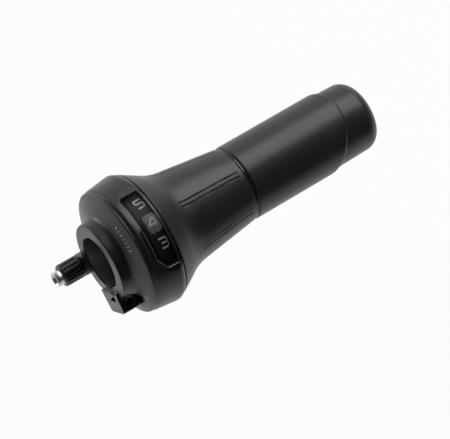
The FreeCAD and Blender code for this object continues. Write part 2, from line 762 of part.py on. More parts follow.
def grip_outline(inset):
    """Outline of the twist grip, with its outside moved inward by a distance."""
    flange_x = drum_end_x + grip_seam_gap
    flange_foot = dial_radius + 0.3
    return [(grip_back_x, sleeve_radius + seat_gap), (grip_back_x, flange_foot), (flange_x, flange_foot),
            (flange_x, grip_flange_radius - inset, 0.35), (grip_crease_x, grip_crease_radius - inset, 0.6),
            (grip_fillet_corner_x, grip_fillet_corner_radius - inset, grip_fillet),
            (grip_end_x, grip_end_radius - inset, 0.8), (grip_end_x, sleeve_radius + seat_gap)]


def twist_grip():
    """Moulded grip with a flange at the drum and six pairs of grooves."""
    grip = turned(grip_outline(0))
    floor = turned(grip_outline(groove_depth))
    half = groove_width / 2
    top = grip_crease_radius
    slots = []
    for k in range(groove_pair_count):
        for side in (-1, 1):
            outline = [(groove_start_x, side * groove_spacing / 2 - half, half - 0.01),
                       (groove_end_x, side * groove_spacing / 2 - half, half - 0.01),
                       (groove_end_x, side * groove_spacing / 2 + half, half - 0.01),
                       (groove_start_x, side * groove_spacing / 2 + half, half - 0.01)]
            face = Part.Face(rounded_wire(outline, lambda a, b: V(a, b, sleeve_radius)))
            slot = face.extrude(V(0, 0, top - sleeve_radius))
            slots.append(at_angle(slot, groove_first_angle + 360 / groove_pair_count * k))
    grooves = slots[0].fuse(slots[1:]).cut(floor)
    return grip.cut(grooves)


def spacer_washer():
    start_x = sleeve_end_x + spacer_gap
    return turned([(start_x, bore_radius + washer_clearance), (start_x, spacer_radius, 0.3),
                   (start_x + spacer_thickness, spacer_radius, 0.3),
                   (start_x + spacer_thickness, bore_radius + washer_clearance)])


def fixed_grip():
    """Fixed end grip: closed end, and a thicker part that ends at a leaning step."""
    core = turned([(fixed_start_x, 0), (fixed_start_x, fixed_core_radius), (step_x, fixed_core_radius),
                   (fixed_end_x, fixed_tip_radius, fixed_end_round), (fixed_end_x, 0)])
    past_step_x = step_x + step_lean * fixed_radius + 2
    sleeve = turned([(fixed_start_x, 0), (fixed_start_x, fixed_radius, 0.8), (past_step_x, fixed_radius),
                     (past_step_x, 0)])
    a = V(step_x, 0, 0)
    lean = polar(step_lean, 1, step_angle)
    across = polar(0, 1, step_angle + 90)
    sleeve = trimmed(sleeve, a, a + lean, a + across, V(fixed_start_x, 0, 0))
    rim = [edge for edge in sleeve.Edges
           if edge.BoundBox.XMin > step_x - 20 and edge.BoundBox.YLength > fixed_radius]
    sleeve = sleeve.makeFillet(0.5, rim)
    grip = core.fuse(sleeve).removeSplitter()
    return grip.cut(rod(fixed_start_x - 1, fixed_end_x - fixed_end_wall, bar_radius + end_grip_clearance))


def adjuster_knob():
    """Ribbed knob that snaps on the outlet's nose and turns there."""
    bore = nose_radius + snap_clearance
    lip_bore = nose_lip_radius + snap_clearance
    lip_x = nose_end_x + nose_lip_width + snap_clearance
    knob = turned([(knob_start_x, bore), (knob_start_x, knob_radius, 0.4), (knob_end_x, knob_radius, 0.8),
                   (knob_end_x, 0), (knob_shoulder_x, 0), (knob_shoulder_x, lip_bore), (lip_x, lip_bore),
                   (lip_x, bore)])
    keyway = hexagon_prism(head_width + 2 * running_gap, 0, knob_shoulder_x - knob_end_x + 2, AXIS,
                           V(knob_end_x - 1, 0, 0))
    flutes = []
    for k in range(knob_rib_count):
        flute = rod(knob_start_x - 1.5 * knob_flute_runout, knob_end_x + knob_flute_runout,
                    knob_rib_radius, knob_radius + 0.15, 360 / knob_rib_count * k)
        flutes.append(flute)
    return on_adjuster_axis(knob.cut([keyway] + flutes))


def adjuster_spring():
    """Short coil between the outlet's nose and the knob's shoulder."""
    room = nose_end_x - knob_shoulder_x
    height = room - spring_wire - 2 * seat_gap
    helix = Part.makeHelix(height / spring_turns, height, spring_radius)
    section = Part.Wire(Part.makeCircle(spring_wire / 2, V(spring_radius, 0, 0), V(0, 1, 0)))
    coil = Part.Wire(helix).makePipeShell([section], True, True)
    start_x = knob_shoulder_x + spring_wire / 2 + seat_gap
    coil.Placement = FreeCAD.Placement(V(start_x, 0, 0), FreeCAD.Rotation(V(0, 0, 1), AXIS))
    return on_adjuster_axis(coil)


def adjuster_bolt():
    """Hollow threaded barrel with a six-sided head that seats the cable's housing."""
    barrel = rod(head_start_x - 0.1, adjuster_bolt_end_x, adjuster_bolt_radius)
    head = hexagon_prism(head_width, 0, head_start_x - head_end_x, AXIS, V(head_end_x, 0, 0))
    round_off = turned([(head_end_x, 0), (head_end_x, head_width / 2, 0.1),
                        (head_end_x + 0.6, head_width / math.sqrt(3) + 0.1),
                        (head_start_x, head_width / math.sqrt(3) + 0.1), (head_start_x, 0)])
    bolt = barrel.fuse(head.common(round_off))
    seat = rod(head_end_x - 1, head_end_x + ferrule_depth, ferrule_radius)
    passage = rod(head_end_x, adjuster_bolt_end_x + 1, guide_bore_radius)
    return on_adjuster_axis(bolt.cut([seat, passage]))


subparts = {
    "clamp_body": clamp_body(),
    "drum_shell": drum_shell(),
    "shell_screws": Part.makeCompound(shell_screws()),
    "window_lens": window_lens(),
    "clamp_band": clamp_band(),
    "clamp_bolt": clamp_bolt(),
    "bolt_washer": bolt_washer(),
    "clamp_nut": clamp_nut(),
    "thrust_washer": thrust_washer(),
    "detent_spring": detent_spring(),
    "spring_screw": spring_screw(),
    "cable_guide": cable_guide(),
    "spacer_washer": spacer_washer(),
    "fixed_grip": fixed_grip(),
    "twist_sleeve": twist_sleeve(),
    "detent_ring": detent_ring(),
    "number_dial": number_dial(),
    "dial_screws": Part.makeCompound(dial_screws()),
    "twist_grip": twist_grip(),
    "adjuster_knob": adjuster_knob(),
    "adjuster_spring": adjuster_spring(),
    "adjuster_bolt": adjuster_bolt(),
}

os.makedirs("parts", exist_ok=True)
for name, shape in subparts.items():
    box = shape.BoundBox
    spans = [f"{low:7.2f}..{high:7.2f}" for low, high in
             ((box.XMin, box.XMax), (box.YMin, box.YMax), (box.ZMin, box.ZMax))]
    print(f"{name:16s} solids {len(shape.Solids)} valid {shape.isValid()} volume {shape.Volume:9.1f}", *spans)
    shape.exportStep(f"parts/{name}.step")
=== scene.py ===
import json
import math

import bmesh
import bpy
import numpy as np
from mathutils import Matrix, Vector

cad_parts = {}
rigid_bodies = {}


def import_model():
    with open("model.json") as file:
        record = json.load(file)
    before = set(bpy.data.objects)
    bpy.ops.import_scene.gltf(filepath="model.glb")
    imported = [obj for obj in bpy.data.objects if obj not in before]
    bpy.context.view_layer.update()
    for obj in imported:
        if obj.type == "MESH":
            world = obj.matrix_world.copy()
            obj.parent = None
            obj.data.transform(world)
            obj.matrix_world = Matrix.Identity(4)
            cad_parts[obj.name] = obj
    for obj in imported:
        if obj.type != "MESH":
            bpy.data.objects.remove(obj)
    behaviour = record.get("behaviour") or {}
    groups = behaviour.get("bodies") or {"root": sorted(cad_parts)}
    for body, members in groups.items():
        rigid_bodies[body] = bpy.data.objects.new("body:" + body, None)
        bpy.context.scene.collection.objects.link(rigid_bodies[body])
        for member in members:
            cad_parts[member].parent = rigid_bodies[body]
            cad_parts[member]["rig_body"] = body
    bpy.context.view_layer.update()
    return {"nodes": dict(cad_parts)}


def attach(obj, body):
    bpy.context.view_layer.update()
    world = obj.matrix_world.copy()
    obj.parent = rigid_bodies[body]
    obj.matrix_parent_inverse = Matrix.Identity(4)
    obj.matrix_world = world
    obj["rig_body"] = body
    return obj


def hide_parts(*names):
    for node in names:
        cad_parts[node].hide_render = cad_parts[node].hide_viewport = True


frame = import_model()
scene = bpy.context.scene

# Sizes are millimetres and degrees until a surface is put into its mesh. The lamps, the floor's fade and the
# noise are in metres.
# The turning axis is X. An angle round it is 0 at the top and grows towards the back, -Y.
MM = 0.001
merge_distance = 1e-7
cad_sharp_angle = 30

# Housing
neck_root_x = 4.95
neck_root_radius = 17.6
shoulder_slope = 2.75
crease_x = 9.1
drum_end_x = 22.4
drum_outline = [(crease_x, 25.95), (10.35, 26.84, 0.9), (20.8, 28.1, 3.0), (drum_end_x, 26.95)]
drum_wall = 1.1
rows_at_crease = [0, 0.02, 0.05, 0.08, 0.11]
rows_to_window = np.linspace(0.16, 0.9, 30)
drum_fine_angle = 50.0
drum_fine_step = 0.5
drum_coarse_from = 53.0
drum_coarse_to = 308.0
drum_coarse_step = 3.0

# Tick marks on the shoulder
tick_count = 7
tick_first_angle = 9.5
tick_pitch = 4.6
tick_x = 6.45
tick_length = 1.4
end_tick_length = 2.0
tick_half_width = 0.25

# Window and lens
window_angle = 25.0
window_left_x = 13.3
window_right_x = 21.3
window_half_angle = 40.6
corner_x = 16.65
corner_half_angle = 29.3
lens_radius = 26.2
lens_thickness = 1.15
lens_gap = 0.06
lens_top_angle = 33.5
window_lip = 0.32
lip_steps = np.array([0, 0.03, 0.12, 0.27, 0.47, 0.72, 1.0])
left_bevel_slope = 0.22
top_ramp_slope = 0.33
end_bevel_slope = 0.8
corner_bevel_slope = 0.61
bevel_blend = 0.12
edge_tolerance = 0.01
angle_tolerance = 0.001
ramp_fade = 0.1
# Polished band of the left bevel: glossy, and painted deep black as painted shade in the window's recess.
polish_shade_from_angle = 0.0
polish_shade_to_angle = 8.0
polish_shade_narrow = 0.6
polish_shade_wide = 5.0
polish_shade_fade = 0.4
polish_shade_right_gap = 0.3
# Pale lip: a painted highlight along the window's rounded lip, where its rim catches the light.
lip_highlight_from_angle = 2.0
lip_highlight_width = 0.5
lip_highlight_end_width = 0.2
lip_highlight_fade = 0.15
magnifier_middle_x = 17.95
magnifier_half_length = 3.3
magnifier_half_width = 4.6
magnifier_height = 1.1
magnifier_slope = 0.3
magnifier_crown = 0.15
magnifier_squareness = 5
magnifier_reach = 1.06
lens_edge_round = 0.3
rim_steps = np.array([0, 0.02, 0.06, 0.12, 0.2, 0.3, 0.45])
border_angle = 33.0
border_end_gap = 0.3
border_inset = 0.2

# Dial
dial_radius = 24.6
dial_shift_angle = -1.4
gear_pitch = 21.3
digit_x = 19.2
digit_width = 3.2
digit_height = 3.9
digit_stroke = 0.78
print_lift = 0.03
print_thickness = 0.8 * print_lift

# Twist grip
grip_back_x = 22.15
grip_end_x = 65.1
grip_bore_radius = 13.05
shelf_radius = 24.9
flange_x = 22.75
grip_outline = [(grip_back_x, grip_bore_radius), (grip_back_x, shelf_radius), (flange_x, shelf_radius),
                (flange_x, 27.0, 0.35), (29.0, 23.45, 0.6), (34.4, 20.1, 22.0), (grip_end_x, 16.1, 0.8),
                (grip_end_x, grip_bore_radius)]
groove_pairs = 6
groove_first_angle = 21.5
groove_start_x = 34.0
groove_end_x = 62.5
groove_spacing = 1.9
groove_half_width = 0.36
groove_depth = 0.55
groove_wall_share = 0.8
groove_fine_angle = 5.2
groove_fine_step = 0.35
bore_margin = 1.0

# Fixed grip
fixed_start_x = 66.25
fixed_end_x = 129.0
fixed_radius = 16.2
fixed_bore_radius = 11.1
fixed_bore_end_x = 125.5
fixed_outline = [(fixed_start_x, fixed_bore_radius), (fixed_start_x, fixed_radius, 0.8),
                 (107.9, fixed_radius, 1.2), (109.0, 15.2, 0.5), (fixed_end_x, 14.75, 6.3),
                 (fixed_end_x, 0.0)]
step_x = 108.5
step_lean = 0.4145
step_angle = -4.0
lean_start_x = 84.0
lean_end_x = 126.0


def rounded(corners, steps):
    """Points along straight runs joined by tangent arcs, through corners (a, b) or (a, b, radius)."""
    points = []
    for i, corner in enumerate(corners):
        here = np.array(corner[:2], float)
        if len(corner) == 2:
            points.append(here)
            continue
        radius = corner[2]
        back = np.array(corners[i - 1][:2], float) - here
        ahead = np.array(corners[i + 1][:2], float) - here
        back /= np.linalg.norm(back)
        ahead /= np.linalg.norm(ahead)
        half = math.acos(np.clip(back @ ahead, -1, 1)) / 2
        bisector = (back + ahead) / np.linalg.norm(back + ahead)
        centre = here + bisector * radius / math.sin(half)
        start = here + back * radius / math.tan(half) - centre
        end = here + ahead * radius / math.tan(half) - centre
        share = np.linspace(0, 1, steps)[:, None]
        chord = start * (1 - share) + end * share
        points.extend(centre + radius * chord / np.linalg.norm(chord, axis=1)[:, None])
    return np.array(points)


def filled_in(outline, longest):
    """The same outline with its long runs cut into equal parts no longer than a length."""
    parts = []
    for start, end in zip(outline[:-1], outline[1:]):
        count = max(1, math.ceil(np.linalg.norm(end - start) / longest))
        parts.append(start + (end - start) * (np.arange(count) / count)[:, None])
    return np.vstack(parts + [outline[-1:]])


def with_rows_at(outline, xs):
    """The outline with more points on its outside, at the given x."""
    top = outline[:, 1] > outline[:, 1].min() + bore_margin
    inside = [x for x in xs if outline[top, 0].min() < x < outline[top, 0].max()]
    extra = np.column_stack([inside, np.interp(inside, outline[top, 0], outline[top, 1])])
    merged = np.vstack([outline[top], extra])
    merged = merged[np.argsort(merged[:, 0], kind="stable")]
    first = np.argmax(top)
    last = len(top) - np.argmax(top[::-1])
    return np.vstack([outline[:first], merged, outline[last:]])


def round_the_axis(x, radius, angle):
    """Points at x along the axis, at a radius and an angle round it: (x, -radius sin, radius cos)."""
    a = np.radians(angle)
    x, radius, a = np.broadcast_arrays(x, radius, a)
    return np.stack([x, -radius * np.sin(a), radius * np.cos(a)], -1)


def direction(angle, lean):
    """Unit direction at an angle round the axis, leaned towards +X."""
    a = math.radians(angle)
    b = math.radians(lean)
    return Vector((math.sin(b), -math.sin(a) * math.cos(b), math.cos(a) * math.cos(b)))


def smooth_step(value):
    """0 below 0, 1 above 1, and 3 v^2 - 2 v^3 between."""
    v = np.clip(value, 0, 1)
    return v * v * (3 - 2 * v)


def soft_minimum(a, b, blend):
    """The smaller of two heights, rounded where they cross over a distance."""
    h = np.clip(0.5 + (b - a) / (2 * blend), 0, 1)
    return b + (a - b) * h - blend * h * (1 - h)


def grid_piece(name, body, points, wrap_rows=False, wrap_columns=True, keep=None, end_caps=False, sharp=35,
               marks=None):
    """Piece from a grid of points in millimetres, rows by columns, with faces turned outwards.

    marks holds numbers for the points by name, for the materials to read.
    """
    rows, columns = points.shape[:2]
    index = np.arange(rows * columns).reshape(rows, columns)
    if wrap_rows:
        index = np.vstack([index, index[:1]])
    if wrap_columns:
        index = np.hstack([index, index[:, :1]])
    quads = np.stack([index[:-1, :-1], index[:-1, 1:], index[1:, 1:], index[1:, :-1]], -1)
    quads = quads[keep] if keep is not None else quads.reshape(-1, 4)
    faces = quads.tolist()
    if end_caps:
        faces += [index[:-1, 0].tolist(), index[:-1, -1][::-1].tolist()]
    mesh = bpy.data.meshes.new(name)
    mesh.from_pydata((points.reshape(-1, 3) * MM).tolist(), [], faces)
    for mark, numbers in (marks or {}).items():
        mesh.attributes.new(mark, "FLOAT", "POINT").data.foreach_set("value", numbers.ravel())
    return finished(name, body, mesh, sharp)


def finished(name, body, mesh, sharp):
    """Object for a mesh, with doubled and loose points gone, smooth faces and sharp edges, on its body."""
    work = bmesh.new()
    work.from_mesh(mesh)
    bmesh.ops.remove_doubles(work, verts=work.verts, dist=merge_distance)
    bmesh.ops.delete(work, geom=[v for v in work.verts if not v.link_faces], context="VERTS")
    work.to_mesh(mesh)
    work.free()
    mesh.shade_smooth()
    mesh.set_sharp_from_angle(angle=math.radians(sharp))
    piece = bpy.data.objects.new(name, mesh)
    scene.collection.objects.link(piece)
    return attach(piece, body)


def thickened(piece, thickness):
    """Gives an open skin its thickness, inwards from the surface that shows."""
    wall = piece.modifiers.new("wall", "SOLIDIFY")
    wall.thickness = thickness * MM
    wall.offset = -1


def smoothed_copy(node):
    """The CAD node's own shape as one merged, smooth shaded mesh that stands for it."""
    mesh = frame["nodes"][node].data.copy()
    mesh.name = node + "_skin"
    mesh.materials.clear()
    piece = finished(node + "_skin", frame["nodes"][node]["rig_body"], mesh, cad_sharp_angle)
    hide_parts(node)
    return piece


class Value:
    """A number that varies over a surface. Sums and products of it add Math nodes."""

    def __init__(self, finish, socket):
        self.finish = finish
        self.socket = socket

    def math(self, operation, first, second):
        return self.finish.node("ShaderNodeMath", {"operation": operation}, [first, second])

    def __add__(self, other):
        return self.math("ADD", self, other)

    def __sub__(self, other):
        return self.math("SUBTRACT", self, other)

    def __rsub__(self, other):
        return self.math("SUBTRACT", other, self)

    def __mul__(self, other):
        return self.math("MULTIPLY", self, other)

    def above(self, low, high):
        """0 under low, 1 over high, straight between."""
        return self.finish.node("ShaderNodeMapRange", {"clamp": True}, [self, low, high, 0.0, 1.0])

    __radd__ = __add__
    __rmul__ = __mul__


class Nodes:
    """A node tree that nodes are added to."""

    def __init__(self, tree):
        self.tree = tree
        self.place = self.node("ShaderNodeTexCoord", {}, [], "Object")

    def node(self, kind, settings, inputs, output=0):
        """Adds a node: its settings first, then the values or links of its sockets, by place or by name."""
        made = self.tree.nodes.new(kind)
        for key, value in settings.items():
            setattr(made, key, value)
        pairs = inputs.items() if isinstance(inputs, dict) else enumerate(inputs)
        for key, value in pairs:
            if isinstance(value, Value):
                self.tree.links.new(value.socket, made.inputs[key])
            else:
                made.inputs[key].default_value = value
        return Value(self, made.outputs[output])

    def toward(self, angle, lean, low, high):
        """0 to 1 as a direction comes nearer to the one at an angle round the axis, leaned along it."""
        towards = self.node("ShaderNodeVectorMath", {"operation": "DOT_PRODUCT"},
                            {0: self.place, 1: direction(angle, lean)}, "Value")
        return self.node("ShaderNodeMapRange", {"interpolation_type": "SMOOTHSTEP"},
                         [towards, low, high, 0.0, 1.0])

    def ray(self, kind):
        """1 for rays of a kind, 0 for all others."""
        return self.node("ShaderNodeLightPath", {}, [], f"Is {kind} Ray")


class Finish(Nodes):
    """A material made of nodes round its main shader."""

    def __init__(self, name):
        self.material = bpy.data.materials.new(name)
        self.material.use_nodes = True
        super().__init__(self.material.node_tree)
        self.shader = self.tree.nodes["Principled BSDF"]
        self.output = self.tree.nodes["Material Output"]

    def noise(self, scale, detail=2.0, roughness=0.5, stretch=(1, 1, 1)):
        """Noise of a given number of waves a metre, from 0 to 1."""
        place = self.node("ShaderNodeMapping", {}, {"Vector": self.place, "Scale": stretch})
        return self.node("ShaderNodeTexNoise", {}, {"Vector": place, "Scale": scale, "Detail": detail,
                                                    "Roughness": roughness})

    def edges(self):
        """1 on worn outer edges, 0 on flat faces, whose Pointiness is one half."""
        return self.node("ShaderNodeNewGeometry", {}, [], "Pointiness").above(0.52, 0.6)

    def marked(self, name, low, high):
        """0 to 1 as a number kept on the mesh's points goes from low to high."""
        return self.node("ShaderNodeAttribute", {"attribute_name": name}, [], "Fac").above(low, high)

    def colour_mix(self, factor, dark, light):
        """A colour between two colours, each three numbers or another mix.

        A Mix node's colours are its sockets 6 and 7, and its colour result is its output 2.
        """
        pair = [colour if isinstance(colour, Value) else (*colour, 1) for colour in (dark, light)]
        return self.node("ShaderNodeMix", {"data_type": "RGBA"}, {0: factor, 6: pair[0], 7: pair[1]}, 2)

    def bump(self, height, strength, distance):
        return self.node("ShaderNodeBump", {}, {"Height": height, "Strength": strength, "Distance": distance})

    def set(self, **sockets):
        """Sets the shader's sockets; underscores in a name stand for spaces."""
        for key, value in sockets.items():
            socket = self.shader.inputs[key.replace("_", " ")]
            if isinstance(value, Value):
                self.tree.links.new(value.socket, socket)
            else:
                socket.default_value = value

    def paint(self, piece):
        piece.data.materials.clear()
        piece.data.materials.append(self.material)


def moulded(name, dark, light, roughness, grain, grain_height, specular=0.5, polished=False):
    """Moulding with a fine grain, slight mottling, and edges rubbed paler and smoother.

    A polished one reads three marks from its points: where it is polished it has a high gloss and no grain,
    and is deep black, partly its own glossy black and partly painted shade; the ramp is duller than the rest;
    and the lip is painted pale as a painted highlight of its rim.
    """
    finish = Finish(name)
    mottle = finish.noise(90, 3)
    fine = finish.noise(grain, 4, 0.6)
    worn = finish.edges()
    tone = mottle * 0.7 + worn * 0.5
    dullness = roughness + (mottle - 0.5) * 0.12 - worn * 0.06
    if polished:
        grained = 1 - finish.marked("polish_and_shade", 0.0, 0.1)
        duller = finish.marked("ramp", 0.0, 1.0) * 0.2
        dullness = (dullness + duller - polished_roughness) * grained + polished_roughness
        fine = fine * grained
    colour = finish.colour_mix(tone, dark, light)
    if polished:
        # Painted shade: the polished part is painted deeper black than the glossy black alone.
        colour = finish.colour_mix(grained, polished_black_and_shade_colour, colour)
        # Painted highlight: the lip is painted pale where its rim catches the light.
        colour = finish.colour_mix(finish.marked("lip", 0.1, 0.8), colour, lip_highlight_colour)
    finish.set(Base_Color=colour, Roughness=dullness, Normal=finish.bump(fine, 0.25, grain_height),
               Specular_IOR_Level=specular)
    return finish


def metal(name, colour, roughness, stretch=(1, 1, 1)):
    """Bare metal with fine lines along the stretched direction and a few dull patches."""
    finish = Finish(name)
    lines = finish.noise(2500, 2, 0.6, stretch)
    patches = finish.noise(160, 3)
    low = tuple(0.8 * c for c in colour)
    finish.set(Base_Color=finish.colour_mix(patches, low, colour), Metallic=1.0,
               Roughness=roughness + (lines - 0.5) * 0.15 + (patches - 0.5) * 0.1,
               Normal=finish.bump(lines, 0.12, 0.00003))
    return finish


# Pale lip colour: a painted highlight where the window's rounded rim catches the light.
lip_highlight_colour = (0.075, 0.073, 0.067)
# Deep black of the polished bevel: partly its glossy black, partly painted shade in the window's recess.
polished_black_and_shade_colour = (0.003, 0.003, 0.003)
polished_roughness = 0.13

satin_black = ((0.01, 0.01, 0.0103), (0.017, 0.017, 0.0177), 0.36, 5200, 0.00003, 0.42)
black_moulding = moulded("satin_black_moulding", *satin_black)
drum_moulding = moulded("drum_black_moulding", *satin_black, polished=True)
grip_rubber = moulded("smooth_grip_rubber", (0.0148, 0.0124, 0.0135), (0.0225, 0.0193, 0.0206), 0.37, 3600,
                      0.00006, 0.43)
plain_plastic = moulded("plain_dark_plastic", (0.03, 0.03, 0.03), (0.045, 0.045, 0.045), 0.5, 3000, 0.00002)
gloss_plastic = moulded("glossy_black_plastic", (0.01, 0.01, 0.01), (0.016, 0.016, 0.016), 0.2, 1500, 0.00001)
dial_plastic = moulded("dial_black", (0.004, 0.004, 0.004), (0.007, 0.007, 0.007), 0.6, 4000, 0.000001, 0.15)
white_plastic = moulded("natural_white_plastic", (0.6, 0.6, 0.57), (0.72, 0.72, 0.68), 0.45, 2500, 0.00002)
bright_steel = metal("bright_steel", (0.62, 0.62, 0.63), 0.3)
black_steel = metal("black_oxide_steel", (0.07, 0.07, 0.07), 0.38)
turned_aluminium = metal("turned_aluminium", (0.7, 0.7, 0.71), 0.28, (12, 1, 1))

pale_print = Finish("pale_grey_print")
print_tone = pale_print.noise(1200, 2)
pale_print.set(Base_Color=pale_print.colour_mix(print_tone, (0.42, 0.42, 0.41), (0.52, 0.52, 0.51)),
               Roughness=0.5 + pale_print.noise(2000) * 0.1)

# Clear plastic that light passes straight through; a pale grey on the raised magnifier is a painted
# reflection of the bright surroundings in its curved top
clear_plastic = Finish("clear_lens_plastic")
magnifier_reflection = clear_plastic.marked("magnifier", 0.4, 0.8)
clear_plastic.set(Base_Color=clear_plastic.colour_mix(magnifier_reflection, (0.01, 0.01, 0.01), (0.3, 0.3, 0.3)),
                  Roughness=0.3 + clear_plastic.noise(300, 3) * 0.1, Alpha=0.1 + magnifier_reflection * 0.15)


def window_left(side):
    """Where the window's left edge lies at an angle from its middle.

    It is straight, then a cut corner at each end.
    """
    share = np.clip((np.abs(side) - corner_half_angle) / (window_half_angle - corner_half_angle), 0, 1)
    return window_left_x + share * (corner_x - window_left_x)


def drum_angles():
    """Angles round the drum from the window's middle, close together beside the window and at its lip."""
    lip = np.degrees(window_lip * lip_steps / lens_radius)
    beside = np.arange(-drum_fine_angle, drum_fine_angle + 0.01, drum_fine_step)
    ends = np.concatenate([-lens_top_angle - lip, window_half_angle + lip])
    behind = np.arange(drum_coarse_from, drum_coarse_to, drum_coarse_step)
    angle = np.concatenate([beside, ends, [-corner_half_angle, corner_half_angle], behind])
    return np.unique(np.round(angle, 4))


def distances_outside_window(x, side):
    """How far each point lies outside the window's left edge, top end, bottom end and cut corners."""
    arc = np.radians(side) * lens_radius
    corner_run = np.array([corner_x - window_left_x,
                           math.radians(window_half_angle - corner_half_angle) * lens_radius])
    corner_run /= np.linalg.norm(corner_run)
    to_left = window_left_x - x
    to_top = -arc - math.radians(lens_top_angle) * lens_radius + 0 * x
    to_bottom = arc - math.radians(window_half_angle) * lens_radius + 0 * x
    to_corner = (-(x - window_left_x) * corner_run[1]
                 + (np.abs(arc) - math.radians(corner_half_angle) * lens_radius) * corner_run[0])
    return to_left, to_top, to_bottom, to_corner


def drum_skin():
    """Drum with its window: the outer turned surface, cut down by the slopes that rise from the window's lip.

    The slopes' height is the largest of four planes: left bevel, cut corner, long ramp at the top end, short
    bevel at the bottom end. Within the lip's radius of the opening it drops like a quarter circle.
    The polished part of the left bevel is narrow in its upper half and widens below; it is glossy and painted
    deep black as painted shade.
    Rows run from the crease to the window's left edge, over the opening and on to the seam; columns are
    angles.
    """
    angle = drum_angles()
    side = np.where(angle > 180, angle - 360, angle)
    left = window_left(side)
    outside = rounded(drum_outline, steps=9)
    first_rows = np.concatenate([rows_at_crease, rows_to_window])[:, None]
    lip_rows = -window_lip * lip_steps[::-1, None]
    open_rows = np.linspace(0, 1, 30)[1:, None]
    last_rows = np.linspace(window_right_x, drum_end_x, 12)[1:, None]
    x = np.vstack([crease_x + first_rows * (left - crease_x), left + lip_rows,
                   left + open_rows * (window_right_x - left), last_rows + 0 * left])
    outer = np.interp(x, outside[:, 0], outside[:, 1])
    to_left, to_top, to_bottom, to_corner = distances_outside_window(x, side)
    rise = np.maximum.reduce([left_bevel_slope * to_left, top_ramp_slope * to_top,
                              end_bevel_slope * to_bottom, corner_bevel_slope * to_corner, 0 * x])
    to_opening = np.maximum.reduce([to_left, to_top, to_bottom, to_corner])
    outward = np.clip(to_opening / window_lip, 0, 1)
    lip_height = window_lip * np.sqrt(1 - (1 - outward) ** 2)
    past_right = x > window_right_x - edge_tolerance
    slopes = lens_radius + rise + np.where(past_right, window_lip, lip_height)
    radius = soft_minimum(outer, slopes, bevel_blend)

    depth = outer - slopes
    # Polished band: glossy, and painted deep black as painted shade in the recess.
    polish_shade_width = np.interp(side, [polish_shade_from_angle, polish_shade_to_angle],
                               [polish_shade_narrow, polish_shade_wide])
    polish_and_shade = np.minimum.reduce([depth, window_lip - to_top, window_right_x - polish_shade_right_gap - x,
                                polish_shade_fade * (polish_shade_width - to_left)])
    ramp = np.clip(to_top / window_lip, 0, 1) * np.clip(depth / ramp_fade, 0, 1)
    # Painted highlight: a pale band along the window's lip, past an angle from its middle.
    highlit_lip = (side > lip_highlight_from_angle) & (to_opening > -edge_tolerance)
    highlit_lip = highlit_lip & (x < window_right_x - edge_tolerance)
    highlight_width = np.where(to_bottom > -lip_highlight_end_width, lip_highlight_end_width, lip_highlight_width)
    lip = highlit_lip * np.clip((highlight_width - to_opening) / lip_highlight_fade, 0, 1)

    keep = np.ones((x.shape[0] - 1, angle.size), bool)
    row = np.arange(x.shape[0] - 1)
    first_open = len(first_rows) + len(lip_rows) - 1
    over_lens = (row >= first_open) & (row < first_open + len(open_rows))
    next_side = np.roll(side, -1)
    from_top = side >= -lens_top_angle - angle_tolerance
    to_end = (next_side <= window_half_angle + angle_tolerance) & (next_side > side)
    keep[np.ix_(over_lens, from_top & to_end)] = False
    piece = grid_piece("drum_skin", "housing", round_the_axis(x, radius, angle + window_angle), keep=keep,
                       marks={"polish_and_shade": polish_and_shade, "ramp": ramp, "lip": lip})
    thickened(piece, drum_wall)
    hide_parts("drum_shell")
    return piece


def lens_pane():
    """Clear lens: a curved pane with a raised magnifier and a rounded rim.

    The magnifier's height is a smooth step of the superellipse distance (|u|^n + |v|^n)^(1/n) from its
    middle, where n is its squareness.
    The rim drops like a quarter circle over the last stretch before the pane's edge.
    """
    gap = math.degrees(lens_gap / lens_radius)
    top_end, bottom_end = gap - lens_top_angle, window_half_angle - gap
    rim_angles = np.degrees(rim_steps / lens_radius)
    corners = np.array([-corner_half_angle, corner_half_angle])
    angle = np.concatenate([np.linspace(top_end, bottom_end, 300)[2:-2], top_end + rim_angles,
                            bottom_end - rim_angles, corners])
    angle = np.unique(np.round(angle, 4))
    left = window_left(angle) + lens_gap
    right = window_right_x - lens_gap
    along = np.linspace(rim_steps[-1], right - window_left_x - 0.5, 90) / (right - window_left_x)
    length = right - left
    near = rim_steps[:-1, None]
    x = np.vstack([left + near, left + along[:, None] * length, right - near[::-1] + 0 * left])
    slant = math.atan2(corner_x - window_left_x,
                       math.radians(window_half_angle - corner_half_angle) * lens_radius)
    lean = np.where(np.abs(angle) > corner_half_angle, math.cos(slant), 1.0)
    to_end = np.radians(np.minimum(angle - top_end, bottom_end - angle)) * lens_radius
    to_edge = np.minimum.reduce([(x - left) * lean, right - x, to_end + 0 * x])
    into_rim = np.clip(1 - to_edge / lens_edge_round, 0, 1)
    drop = lens_edge_round * (1 - np.sqrt(1 - into_rim ** 2))
    across = np.radians(angle) * lens_radius / magnifier_half_width
    along_axis = (x - magnifier_middle_x) / magnifier_half_length
    distance = (np.abs(along_axis) ** magnifier_squareness
                + np.abs(across) ** magnifier_squareness) ** (1 / magnifier_squareness)
    bump = smooth_step((magnifier_reach - distance) / magnifier_slope) * (1 - magnifier_crown * across ** 2)
    top = round_the_axis(x, lens_radius - drop + magnifier_height * bump, angle + window_angle)
    bottom = round_the_axis(x[::-1], lens_radius - lens_thickness, angle + window_angle)
    piece = grid_piece("lens_pane", "housing", np.vstack([top, bottom]), wrap_rows=True, wrap_columns=False,
                       end_caps=True, sharp=60, marks={"magnifier": np.vstack([bump, 0 * bump])})
    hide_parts("window_lens")
    return piece


def window_border():
    """Black border printed under the lens's bottom end: a strip of the lens's inner face past an angle."""
    angle = np.linspace(border_angle, window_half_angle - border_end_gap, 20)
    left = window_left(angle) + border_inset
    x = left + np.linspace(0, 1, 8)[:, None] * (window_right_x - border_inset - left)
    radius = lens_radius - lens_thickness - print_lift
    piece = grid_piece("window_border", "housing", round_the_axis(x, radius, angle + window_angle),
                       wrap_columns=False)
    thickened(piece, print_lift)
    return piece


